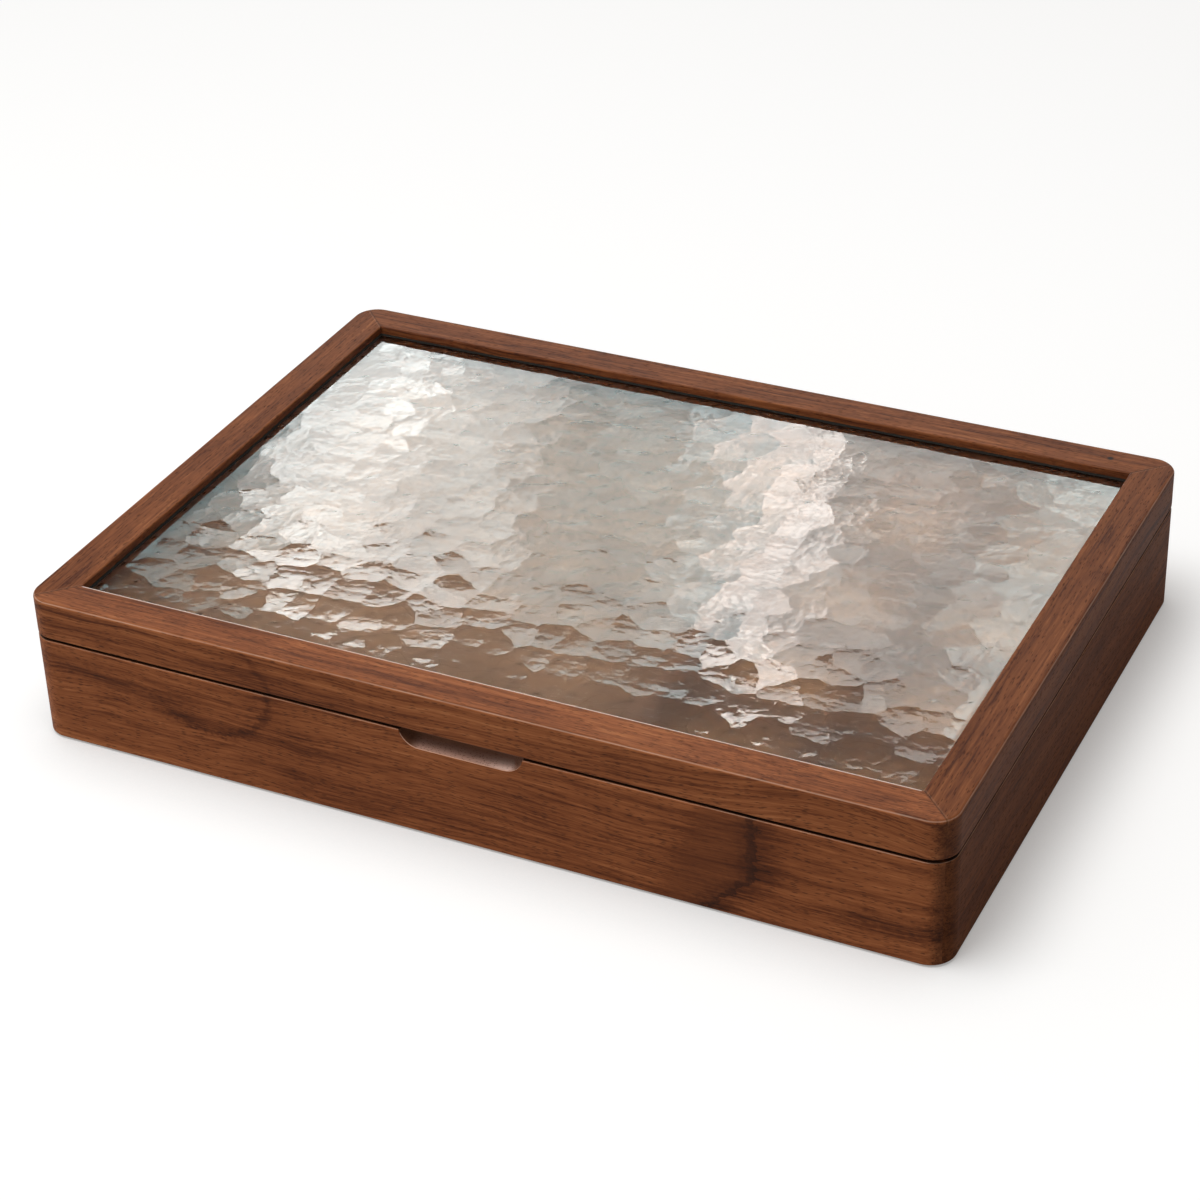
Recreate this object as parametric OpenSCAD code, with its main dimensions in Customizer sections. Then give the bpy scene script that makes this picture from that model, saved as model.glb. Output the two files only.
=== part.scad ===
// Earring box: a low mitred walnut case with a hinged lid that frames a thick
// glass pane. Inside, padded rolls hold studs and a crate of small compartments
// holds pairs. The front face looks along -Y and the box stands on felt pads.

/* [Case] */
// Outside width of the case, left to right
box_w = 300; // [250:1:360]
// Outside depth of the case, front face to back face
box_d = 215; // [180:1:260]
// Height of the case walls
wall_h = 35.5; // [30:0.5:48]
// Thickness of the case walls
wall_t = 12; // [11:0.5:14]
// Radius of the upright outer corners, case and lid
corner_r = 8; // [5:0.5:10]
// Small round on the arrises beside the seam and round the foot of the case
seam_ease = 0.6; // [0.3:0.1:1]
// Shadow gap between the closed lid and the case
seam_gap = 0.8; // [0.6:0.1:1.2]

/* [Finger scoop] */
// Width of the scoop at the rim of the front wall
scoop_w = 40.6; // [30:0.2:70]
// Radius of the cove that the scoop is cut with
scoop_r = 6.5; // [5.6:0.1:7.5]
// Depth of the scoop below the rim
scoop_drop = 5.3; // [3:0.1:5.5]

/* [Bottom] */
// Thickness of the bottom panel
panel_t = 4; // [3:0.5:6]
// Height of the panel's groove above the foot of the walls
groove_up = 3; // [2:0.5:6]
// Depth of the panel's groove in each wall
groove_d = 3.5; // [2.5:0.5:5]
// Play of the panel in its grooves
panel_play = 0.2; // [0.1:0.05:0.4]
// Radius of the felt pads
pad_r = 4.5; // [3:0.5:5]
// Thickness of the felt pads
pad_t = 1.5; // [1.2:0.1:2.5]
// How far the pads stand proud of the walls
pad_proud = 0.5; // [0.3:0.1:1]
// Pad centres, from the left and right faces
pad_inset = 24; // [16:1:50]
// Play round a pad in its counterbore
pad_play = 0.2; // [0.1:0.05:0.4]

/* [Lining] */
// Thickness of the suede-covered card
lining_t = 1.2; // [0.8:0.1:2]
// Play between the lining and what it fits against
lining_play = 0.1; // [0.05:0.05:0.3]
// Top of the wall lining, below the rim of the case
lining_drop = 2; // [1:0.5:5]

/* [Compartments] */
// Position of the main partition, right of the middle
split_x = 40; // [10:1:70]
// Thickness of the main partition
partition_t = 5; // [3:0.5:8]
// Height of the main partition above the floor lining
partition_h = 22; // [14:0.5:24]
// Thickness of the crate's slats
slat_t = 3; // [2:0.5:5]
// Height of the crate's slats above the floor lining
slat_h = 18; // [10:0.5:22]
// Round on the partition's upper edges
partition_ease = 1.2; // [0.5:0.1:1.4]
// Play of a slat in its half-lap slot, and at its ends
slat_play = 0.2; // [0.1:0.05:0.4]

/* [Rolls] */
// Height of a padded roll above the floor lining
roll_h = 19; // [12:0.5:22]
// Gap between rolls, where an earring's post goes
roll_gap = 0.6; // [0.3:0.1:2]
// Play between a roll's end and what it lies against
roll_play = 0.5; // [0.3:0.1:2]
// Length of a roll's drawn-in end
roll_end = 10; // [5:0.5:20]
// Size of a roll's end beside its middle
roll_end_share = 0.68; // [0.5:0.02:0.9]
// Depth of the gather in the middle of a roll's end
roll_gather = 1.5; // [0.5:0.1:3]

/* [Lid frame] */
// Height of the lid frame
lid_h = 13.2; // [12.6:0.2:20]
// Width of the lid's rails, seen from above
rail_w = 13; // [12:0.5:18]
// Width of the rebate under the rails' inner edge
rebate_w = 4; // [3:0.5:5]
// Thickness of the lip over the glass
lip_t = 2.7; // [2.5:0.1:5]
// Round on the lid's upper outer arris
top_ease = 1; // [0.4:0.1:2]
// Round on the lip's upper inner arris
lip_ease = 0.5; // [0.2:0.1:1]

/* [Glazing] */
// Thickness of the glass pane
glass_t = 4; // [3:0.5:4.5]
// Play between the pane's edge and the rebate
glass_play = 0.5; // [0.3:0.1:1]
// Radius of the pane's corners
glass_r = 1.5; // [1:0.5:3]
// Thickness of the glazing tape between glass and lip
tape_t = 0.3; // [0.2:0.1:0.6]
// Height of the glazing beads under the glass
bead_h = 4.2; // [3:0.1:4.6]
// Round on the beads' lower inner arris
bead_ease = 1.5; // [0.5:0.1:2]
// Play between a bead and the wall of the rebate
bead_play = 0.1; // [0.05:0.05:0.3]
// Radius of the brads that hold the beads
brad_r = 0.5; // [0.4:0.05:0.7]
// Length of the brads
brad_len = 9; // [7:0.5:10]
// Outer brads of the front and back beads, from the left and right faces
brad_inset = 55; // [35:1:90]
// Brads of the left and right beads, from the front and back faces
brad_inset_side = 47; // [35:1:70]

/* [Hinges] */
// Hinge centres, from the left and right faces
hinge_inset = 55; // [40:1:80]
// Length of a hinge
hinge_len = 30; // [24:1:40]
// Width of a leaf, from the pin's axis to its inner edge
leaf_w = 7.2; // [6.6:0.1:7.6]
// Thickness of a leaf
leaf_t = 1.1; // [0.9:0.05:1.3]
// Outer radius of the barrel
barrel_r = 1.6; // [1.5:0.05:1.7]
// Radius of the hinge pin
pin_r = 0.75; // [0.6:0.05:0.9]
// Running clearance of the pin in the barrel
pin_clear = 0.04; // [0.02:0.01:0.08]
// Gap between neighbouring knuckles
knuckle_gap = 0.15; // [0.1:0.05:0.3]
// Reach of the square heel that stops the lid
heel = 1.75; // [1.72:0.01:1.9]
// Clearance left between heel and leaf when the lid stands open
heel_clear = 0.05; // [0.03:0.01:0.1]
// Angle at which the heels stop the lid
stop_angle = 95; // [92:1:100]
// Play round a leaf and its barrel in the wood
mortise_play = 0.15; // [0.1:0.05:0.3]
// Radius of the hinge screws' shanks
screw_r = 0.9; // [0.7:0.05:1]
// Radius of the hinge screws' countersunk heads
head_r = 1.75; // [1.5:0.05:1.9]
// Length of the hinge screws
screw_len = 8; // [6:0.5:10]
// Screws, from the middle of the hinge
screw_x = 9; // [6:0.5:11]
// Screws, from the pin's axis
screw_y = 4.6; // [4.3:0.1:5]
// Clearance round a screw or a brad in its hole
screw_clear = 0.03; // [0.02:0.01:0.06]

/* [Bumpers] */
// Radius of the bumpers under the lid's front rail
bumper_r = 3; // [2:0.5:4]
// Depth of a bumper's counterbore in the rim
bumper_sink = 0.8; // [0.5:0.1:1.5]
// Gap between a bumper and the lid
bumper_gap = 0.2; // [0.1:0.05:0.4]
// Bumper centres, from the left and right faces
bumper_inset = 22; // [14:1:50]

/* [Hidden] */
$fn = 48;
roll_count = 7;
cross_count = 3;
knuckles = 5;
cut = 1;

// The heels reach furthest back, so they set how deep the whole object is.
heel_tilt = stop_angle - 90;
heel_reach = heel * (cos(heel_tilt) + sin(heel_tilt));
y_front = -(box_d + heel_reach) / 2;
y_back = y_front + box_d;
y_mid = (y_front + y_back) / 2;
axis_y = y_back;

// Levels, from the floor up.
z_wall = pad_proud;
z_rim = z_wall + wall_h;
z_lid = z_rim + seam_gap;
z_top = z_lid + lid_h;
z_axis = (z_rim + z_lid) / 2;
z_panel = z_wall + groove_up;
z_floor = z_panel + panel_t;
z_inside = z_floor + lining_t;
z_lip = z_top - lip_t;
z_glass = z_lip - tape_t - glass_t;
z_bead = z_glass - bead_h;

// Room inside the walls, and inside the lining.
room_x = box_w / 2 - wall_t;
room_y = box_d / 2 - wall_t;
clear_x = room_x - lining_play - lining_t;
clear_y = room_y - lining_play - lining_t;

// The bays left and right of the main partition.
bay_l0 = -clear_x;
bay_l1 = split_x - partition_t / 2;
bay_r0 = split_x + partition_t / 2;
bay_r1 = clear_x;
long_x = (bay_r0 + bay_r1) / 2;
cell_y = 2 * clear_y / (cross_count + 1);
roll_pitch = 2 * clear_y / roll_count;
roll_w = roll_pitch - roll_gap;
roll_len = bay_l1 - bay_l0 - 2 * roll_play;

// A rebate wall is this far in from the lid's outer face.
rebate_x = rail_w - rebate_w;
hinge_x = box_w / 2 - hinge_inset;
brad_x = box_w / 2 - brad_inset;
brad_y = box_d / 2 - brad_inset_side;
scoop_up = scoop_r - scoop_drop;
scoop_reach = sqrt(scoop_r * scoop_r - scoop_up * scoop_up);
leaf_stop = heel + heel_clear;
heel_sweep = heel * sqrt(2);
knuckle_len = hinge_len / knuckles;

// Section of a board: x runs from its outer face inwards, y runs upwards.
// The outer corners and the upper inner corner have their own rounds.
module board_section(t, z0, z1, foot, head, inner) {
  polygon([[foot, z0], [t, z0], [t, z1 - inner], [t - inner, z1], [head, z1], [0, z1 - head], [0, z0 + foot]]);
  translate([foot, z0 + foot]) circle(foot);
  translate([head, z1 - head]) circle(head);
  if (inner > 0) translate([t - inner, z1 - inner]) circle(inner);
}

// A board of the mitred ring, outer face on y = 0 and depth along +y. Each end
// turns half of the round corner and stops on the mitre. The child is its section.
module mitred_board(len, t) {
  r = corner_r;
  intersection() {
    translate([-len / 2 + r, 0, 0]) rotate([90, 0, 90]) linear_extrude(len - 2 * r) children();
    linear_extrude(z_top + cut)
      polygon([[-len / 2, 0], [len / 2, 0], [len / 2 - t - cut, t + cut], [-len / 2 + t + cut, t + cut]]);
  }
  for (s = [0, 1]) mirror([s, 0, 0])
    translate([len / 2 - r, r, 0])
      rotate([0, 0, -90])
        rotate_extrude(angle = 45)
          intersection() {
            translate([r, 0]) mirror([1, 0]) children();
            square([r + cut, z_top + cut]);
          }
}

// Places a board on one of the four sides: 0 front, 1 right, 2 back, 3 left.
module on_side(side) {
  half = side % 2 == 0 ? box_d / 2 : box_w / 2;
  translate([0, y_mid, 0]) rotate([0, 0, 90 * side]) translate([0, -half, 0]) children();
}

function side_len(side) = side % 2 == 0 ? box_w : box_d;

// One wall of the case, with the groove for the bottom panel.
module case_wall(side) {
  on_side(side) mitred_board(side_len(side), wall_t)
    difference() {
      board_section(wall_t, z_wall, z_rim, seam_ease, seam_ease, 0);
      translate([wall_t - groove_d, z_panel]) square([groove_d + cut, panel_t + panel_play]);
    }
}

// One rail of the lid, with the rebate for the glass.
module lid_rail(side) {
  on_side(side) mitred_board(side_len(side), rail_w)
    difference() {
      board_section(rail_w, z_lid, z_top, seam_ease, top_ease, lip_ease);
      translate([rebate_x, z_lid - cut]) square([rebate_w + cut, z_lip - z_lid + cut]);
    }
}

// The cove cutter of the finger scoop: a round bar with ball ends along X.
module scoop_cutter() {
  half = scoop_w / 2 - scoop_reach;
  translate([0, y_front, z_rim + scoop_up]) rotate([0, 90, 0])
    rotate_extrude() intersection() {
      union() {
        translate([0, -half]) circle(scoop_r);
        translate([0, half]) circle(scoop_r);
        translate([-scoop_r, -half]) square([2 * scoop_r, 2 * half]);
      }
      translate([0, -scoop_w]) square([scoop_r + cut, 2 * scoop_w]);
    }
}

// Room for one hinge in the wood. up = 1 cuts the lid, up = -1 cuts the case.
module hinge_mortise(up) {
  long = hinge_len + 2 * mortise_play;
  deep = z_lid - z_axis + leaf_t;
  pocket = heel_sweep + mortise_play;
  for (s = [-1, 1]) translate([s * hinge_x, axis_y, z_axis]) mirror([0, 0, up < 0 ? 1 : 0]) {
    translate([-long / 2, -leaf_w - mortise_play, 0])
      cube([long, leaf_w + mortise_play + heel_sweep, deep]);
    translate([-long / 2, -leaf_stop - mortise_play, 0])
      cube([long, leaf_stop + mortise_play + heel_sweep, pocket]);
    for (k = [-1, 1]) translate([k * screw_x, -screw_y, 0])
      cylinder(r = screw_r + screw_clear, h = screw_len + z_lid - z_axis + screw_clear);
  }
}

// One knuckle of a leaf, its square heel turned so that it lies flat against
// the other leaf when the lid has swung through the stop angle.
module knuckle(len) {
  rotate([90, 0, 90]) linear_extrude(len) difference() {
    union() {
      circle(barrel_r);
      rotate(heel_tilt) translate([0, -heel]) square(heel);
      translate([-leaf_stop - cut, leaf_stop_z()]) square([leaf_stop + cut, leaf_t]);
    }
    circle(pin_r + pin_clear);
  }
}

function leaf_stop_z() = seam_gap / 2;

// A hinge leaf. own lists the knuckles that belong to it, counted from the left.
module hinge_leaf(own) {
  z0 = leaf_stop_z();
  difference() {
    union() {
      translate([-hinge_len / 2, -leaf_w, z0]) cube([hinge_len, leaf_w - leaf_stop, leaf_t]);
      for (k = own)
        translate([-hinge_len / 2 + k * knuckle_len + (k > 0 ? knuckle_gap / 2 : 0), 0, 0])
          knuckle(knuckle_len - knuckle_gap / (k > 0 && k < knuckles - 1 ? 1 : 2));
    }
    for (k = [-1, 1]) translate([k * screw_x, -screw_y, 0]) {
      cylinder(r = screw_r + screw_clear, h = z0 + leaf_t + cut);
      translate([0, 0, z0 - cut])
        cylinder(r1 = head_r + screw_clear + cut, r2 = screw_r + screw_clear, h = head_r - screw_r + cut);
    }
  }
}

module lid_leaf(s) {
  color("#b8964e") translate([s * hinge_x, axis_y, z_axis]) hinge_leaf([1, 3]);
}

module base_leaf(s) {
  color("#b8964e") translate([s * hinge_x, axis_y, z_axis]) mirror([0, 0, 1]) hinge_leaf([0, 2, 4]);
}

module hinge_pin(s) {
  color("#a58544") translate([s * hinge_x - hinge_len / 2, axis_y, z_axis])
    rotate([0, 90, 0]) cylinder(r = pin_r, h = hinge_len);
}

// A countersunk wood screw, head down on z = 0 and shank upwards.
module wood_screw() {
  sink = head_r - screw_r;
  difference() {
    union() {
      cylinder(r1 = head_r, r2 = screw_r, h = sink);
      cylinder(r = screw_r, h = screw_len - 2 * screw_r);
      translate([0, 0, screw_len - 2 * screw_r]) cylinder(r1 = screw_r, r2 = screw_r / 4, h = 2 * screw_r);
    }
    translate([-head_r - cut, -screw_r / 4, -cut]) cube([2 * head_r + 2 * cut, screw_r / 2, cut + sink / 2]);
  }
}

module hinge_screws(up) {
  color("#c7a65c") for (s = [-1, 1], k = [-1, 1])
    translate([s * hinge_x + k * screw_x, axis_y - screw_y, z_axis])
      mirror([0, 0, up < 0 ? 1 : 0]) translate([0, 0, leaf_stop_z()]) wood_screw();
}

module pad_place() {
  for (s = [-1, 1], y = [y_front + wall_t / 2, y_back - wall_t / 2])
    translate([s * (box_w / 2 - pad_inset), y, 0]) children();
}

module bumper_place() {
  for (s = [-1, 1]) translate([s * (box_w / 2 - bumper_inset), y_front + wall_t / 2, z_rim]) children();
}

module pad_bores() {
  pad_place() translate([0, 0, -cut]) cylinder(r = pad_r + pad_play, h = pad_t + cut);
}

module wall_front() {
  color("#6f3f27") difference() {
    case_wall(0);
    scoop_cutter();
    pad_bores();
    bumper_place() translate([0, 0, -bumper_sink]) cylinder(r = bumper_r + pad_play, h = bumper_sink + cut);
  }
}

module wall_back() {
  color("#6f3f27") difference() {
    case_wall(2);
    hinge_mortise(-1);
    pad_bores();
  }
}

module wall_left() {
  color("#653a25") case_wall(3);
}

module wall_right() {
  color("#5b3826") case_wall(1);
}

// The brads' places on one side, their heads on the bead's inner face.
module brad_place(side) {
  reach = side % 2 == 0 ? [-brad_x, 0, brad_x] : [-brad_y, brad_y];
  on_side(side) for (x = reach) translate([x, rail_w, z_bead + bead_h / 2]) rotate([90, 0, 0]) children();
}

module brad_holes(side) {
  brad_place(side) translate([0, 0, -cut]) cylinder(r = brad_r + screw_clear, h = brad_len + screw_clear + cut);
}

module lid_front() {
  color("#80492f") difference() {
    lid_rail(0);
    brad_holes(0);
  }
}

module lid_back() {
  color("#80492f") difference() {
    lid_rail(2);
    hinge_mortise(1);
    brad_holes(2);
  }
}

module lid_left() {
  color("#733f28") difference() {
    lid_rail(3);
    brad_holes(3);
  }
}

module lid_right() {
  color("#733f28") difference() {
    lid_rail(1);
    brad_holes(1);
  }
}

module bottom_panel() {
  edge = groove_d - panel_play;
  color("#5f3a26") translate([-room_x - edge, y_mid - room_y - edge, z_panel])
    cube([2 * (room_x + edge), 2 * (room_y + edge), panel_t]);
}

module foot_pads() {
  color("#3a2a22") pad_place() cylinder(r = pad_r, h = pad_t);
}

module lid_bumpers() {
  color("#4a372c") bumper_place() translate([0, 0, -bumper_sink])
    cylinder(r = bumper_r, h = bumper_sink + seam_gap - bumper_gap);
}

module floor_lining() {
  color("#8a6a52") translate([-room_x + lining_play, y_mid - room_y + lining_play, z_floor])
    cube([2 * (room_x - lining_play), 2 * (room_y - lining_play), lining_t]);
}

// Wall lining along the front (s = -1) or back (s = 1), full width.
module lining_long(s) {
  color("#8a6a52") translate([-room_x + lining_play, y_mid + s * (clear_y + lining_t / 2) - lining_t / 2, z_inside])
    cube([2 * (room_x - lining_play), lining_t, z_rim - lining_drop - z_inside]);
}

// Wall lining along the left (s = -1) or right (s = 1), between the long ones.
module lining_short(s) {
  color("#8a6a52") translate([s * (clear_x + lining_t / 2) - lining_t / 2, y_mid - clear_y + lining_play, z_inside])
    cube([lining_t, 2 * (clear_y - lining_play), z_rim - lining_drop - z_inside]);
}

// Main partition, with its upper edges rounded over.
module partition() {
  e = partition_ease;
  color("#7c5038") translate([split_x, y_mid + clear_y - slat_play, z_inside]) rotate([90, 0, 0])
    linear_extrude(2 * (clear_y - slat_play)) {
      translate([-partition_t / 2, 0]) square([partition_t, partition_h - e]);
      translate([-partition_t / 2 + e, partition_h - e]) square([partition_t - 2 * e, e]);
      for (s = [-1, 1]) translate([s * (partition_t / 2 - e), partition_h - e]) circle(e);
    }
}

// The crate: one slat front to back and three across, half-lapped where they cross.
module slat_long() {
  slot = slat_t + slat_play;
  color("#7c5038") difference() {
    translate([long_x - slat_t / 2, y_mid - clear_y + slat_play, z_inside])
      cube([slat_t, 2 * (clear_y - slat_play), slat_h]);
    for (i = [1:cross_count])
      translate([long_x - slat_t, y_mid - clear_y + i * cell_y - slot / 2, z_inside - cut])
        cube([2 * slat_t, slot, slat_h / 2 + cut]);
  }
}

module slat_cross(i) {
  slot = slat_t + slat_play;
  color("#7c5038") difference() {
    translate([bay_r0 + slat_play, y_mid - clear_y + i * cell_y - slat_t / 2, z_inside])
      cube([bay_r1 - bay_r0 - 2 * slat_play, slat_t, slat_h]);
    translate([long_x - slot / 2, y_mid - clear_y + i * cell_y - slat_t, z_inside + slat_h / 2])
      cube([slot, 2 * slat_t, slat_h / 2 + cut]);
  }
}

// A padded roll: a D section along X, full in the middle and drawn in at both
// ends, where the cover is gathered. Each ring is one section.
roll_sides = 18;
roll_ease = [0, 0.3, 0.55, 0.75, 0.9, 1];
roll_x = concat(
  [for (i = [5:-1:0]) -roll_len / 2 + roll_end * (1 - roll_ease[i])],
  [for (i = [0:5]) roll_len / 2 - roll_end * (1 - roll_ease[i])]
);

function roll_share(x) =
  let (t = max(0, (abs(x) - roll_len / 2 + roll_end) / roll_end))
  sqrt(1 - (1 - roll_end_share * roll_end_share) * t * t);

function roll_ring(x) =
  let (k = roll_share(x))
  [for (j = [0:roll_sides])
    let (a = 180 * j / roll_sides, c = cos(a))
    [x, k * roll_w / 2 * sign(c) * pow(abs(c), 0.8), k * roll_h * pow(max(0, sin(a)), 0.72)]];

module roll(i) {
  n = roll_sides + 1;
  rings = len(roll_x);
  last = roll_len / 2 - roll_gather;
  points = concat(
    [for (x = roll_x) each roll_ring(x)],
    [[-last, 0, roll_h * roll_end_share * 0.45], [last, 0, roll_h * roll_end_share * 0.45]]
  );
  skin = [for (r = [0:rings - 2], j = [0:n - 1])
    let (a = r * n + j, b = r * n + (j + 1) % n)
    each [[a, a + n, b], [b, a + n, b + n]]];
  caps = [for (j = [0:n - 1])
    each [[(j + 1) % n, rings * n, j], [(rings - 1) * n + j, rings * n + 1, (rings - 1) * n + (j + 1) % n]]];
  color("#9b7a60") translate([(bay_l0 + bay_l1) / 2, y_mid - clear_y + (i - 0.5) * roll_pitch, z_inside])
    polyhedron(points = points, faces = concat(skin, caps));
}

// The pane, with its upright corners rounded.
module glass_pane() {
  x = box_w / 2 - rebate_x - glass_play;
  y = box_d / 2 - rebate_x - glass_play;
  r = glass_r;
  color("#c9ccc8") translate([0, y_mid, z_glass]) linear_extrude(glass_t) {
    square([2 * x, 2 * (y - r)], center = true);
    square([2 * (x - r), 2 * y], center = true);
    for (i = [-1, 1], j = [-1, 1]) translate([i * (x - r), j * (y - r)]) circle(r);
  }
}

module glazing_tape() {
  x = box_w / 2 - rebate_x - glass_play;
  y = box_d / 2 - rebate_x - glass_play;
  color("#2c2a27") translate([0, y_mid, z_lip - tape_t]) linear_extrude(tape_t) difference() {
    square([2 * x, 2 * y], center = true);
    square([box_w - 2 * rail_w, box_d - 2 * rail_w], center = true);
  }
}

// A glazing bead, mitred at both ends, its lower inner arris rounded.
module bead(side) {
  len = side_len(side) - 2 * (rebate_x + bead_play);
  w = rebate_w - bead_play;
  e = bead_ease;
  difference() {
    on_side(side) translate([0, rebate_x + bead_play, 0]) intersection() {
      translate([-len / 2, 0, 0]) rotate([90, 0, 90]) linear_extrude(len) {
        translate([0, z_bead]) square([w - e, bead_h]);
        translate([0, z_bead + e]) square([w, bead_h - e]);
        translate([w - e, z_bead + e]) circle(e);
      }
      linear_extrude(z_top) polygon([[-len / 2, 0], [len / 2, 0], [len / 2 - 2 * w, 2 * w], [-len / 2 + 2 * w, 2 * w]]);
    }
    brad_holes(side);
  }
}

module bead_front() {
  color("#6b3c26") bead(0);
}

module bead_right() {
  color("#6b3c26") bead(1);
}

module bead_back() {
  color("#6b3c26") bead(2);
}

module bead_left() {
  color("#6b3c26") bead(3);
}

module bead_brads() {
  color("#8f7a50") for (side = [0:3]) brad_place(side) cylinder(r = brad_r, h = brad_len);
}

wall_front();
wall_back();
wall_left();
wall_right();
bottom_panel();
foot_pads();
lid_bumpers();
floor_lining();
lining_long(-1);  // lining_front
lining_long(1);  // lining_back
lining_short(-1);  // lining_left
lining_short(1);  // lining_right
partition();
slat_long();
slat_cross(1);  // slat_cross_1
slat_cross(2);  // slat_cross_2
slat_cross(3);  // slat_cross_3
roll(1);  // roll_1
roll(2);  // roll_2
roll(3);  // roll_3
roll(4);  // roll_4
roll(5);  // roll_5
roll(6);  // roll_6
roll(7);  // roll_7
lid_front();
lid_back();
lid_left();
lid_right();
glass_pane();
glazing_tape();
bead_front();
bead_back();
bead_left();
bead_right();
bead_brads();
base_leaf(-1);  // base_leaf_l
base_leaf(1);  // base_leaf_r
lid_leaf(-1);  // lid_leaf_l
lid_leaf(1);  // lid_leaf_r
hinge_pin(-1);  // hinge_pin_l
hinge_pin(1);  // hinge_pin_r
hinge_screws(-1);  // base_screws
hinge_screws(1);  // lid_screws
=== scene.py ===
"""An earring box in walnut with hammered glass in its hinged lid: its looks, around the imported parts."""

import math
import random

import bmesh
import bpy
from mathutils import Matrix, Vector, kdtree, noise


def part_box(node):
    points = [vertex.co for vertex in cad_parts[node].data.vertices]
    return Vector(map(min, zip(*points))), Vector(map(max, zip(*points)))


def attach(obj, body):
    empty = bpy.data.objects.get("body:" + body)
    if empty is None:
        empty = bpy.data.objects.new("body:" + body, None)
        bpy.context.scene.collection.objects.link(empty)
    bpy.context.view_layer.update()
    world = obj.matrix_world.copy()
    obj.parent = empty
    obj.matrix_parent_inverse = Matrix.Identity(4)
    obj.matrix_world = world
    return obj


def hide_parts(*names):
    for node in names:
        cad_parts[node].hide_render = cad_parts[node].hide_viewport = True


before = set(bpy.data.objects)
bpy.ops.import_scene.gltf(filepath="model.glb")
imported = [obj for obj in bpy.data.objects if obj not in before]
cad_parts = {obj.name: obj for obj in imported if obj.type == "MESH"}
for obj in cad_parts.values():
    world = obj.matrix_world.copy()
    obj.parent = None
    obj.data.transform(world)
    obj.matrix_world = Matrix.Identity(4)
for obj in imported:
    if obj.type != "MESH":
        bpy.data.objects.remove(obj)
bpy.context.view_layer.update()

MM = 0.001
# the box in millimetres: its faces, the radius of its upright corners, and its levels
FRONT, BACK = -108.448, 106.552
MIDDLE, HALF_DEPTH = (FRONT + BACK) / 2, (BACK - FRONT) / 2
HALF_WIDTH, CORNER = 150.0, 8.0
RIM, LID_FOOT, LID_TOP = 36.0, 36.8, 50.0
# the width of the lid's rails, and half the length of the finger scoop
RAIL = 13.0
SCOOP_HALF = 20.3
# the rounded outer edges: their height and their width
CASE_ARRIS = (RIM, 0.6)
LID_ARRIS = (LID_TOP, 1.0)

# pale wood: the painted highlight on the rounded edges, and the even paler tone of the inner boards
HIGHLIGHT_AND_PALE_WOOD = (0.62, 0.38, 0.26, 1)


def place_camera():
    """Stands the camera where the photograph was taken from."""
    turn, rise, roll = math.radians(26.55), math.radians(31.98), math.radians(-2.0)
    aim = Vector((-3.84, -6.73, 25.8)) * MM
    back = Vector((math.sin(turn) * math.cos(rise), -math.cos(turn) * math.cos(rise), math.sin(rise)))
    side = (-back).cross(Vector((0, 0, 1))).normalized()
    up = side.cross(-back)
    across = math.cos(roll) * side + math.sin(roll) * up
    upward = math.cos(roll) * up - math.sin(roll) * side
    camera = bpy.data.objects.new("camera", bpy.data.cameras.new("camera"))
    camera.data.lens = 90.41
    camera.data.sensor_width = 36
    camera.data.clip_start = 0.01
    stand = Matrix((across, upward, back)).transposed().to_4x4()
    stand.translation = aim + back * 0.9546
    camera.matrix_world = stand
    bpy.context.scene.collection.objects.link(camera)
    bpy.context.scene.camera = camera


place_camera()
bpy.context.scene.view_settings.view_transform = "Standard"


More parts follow.
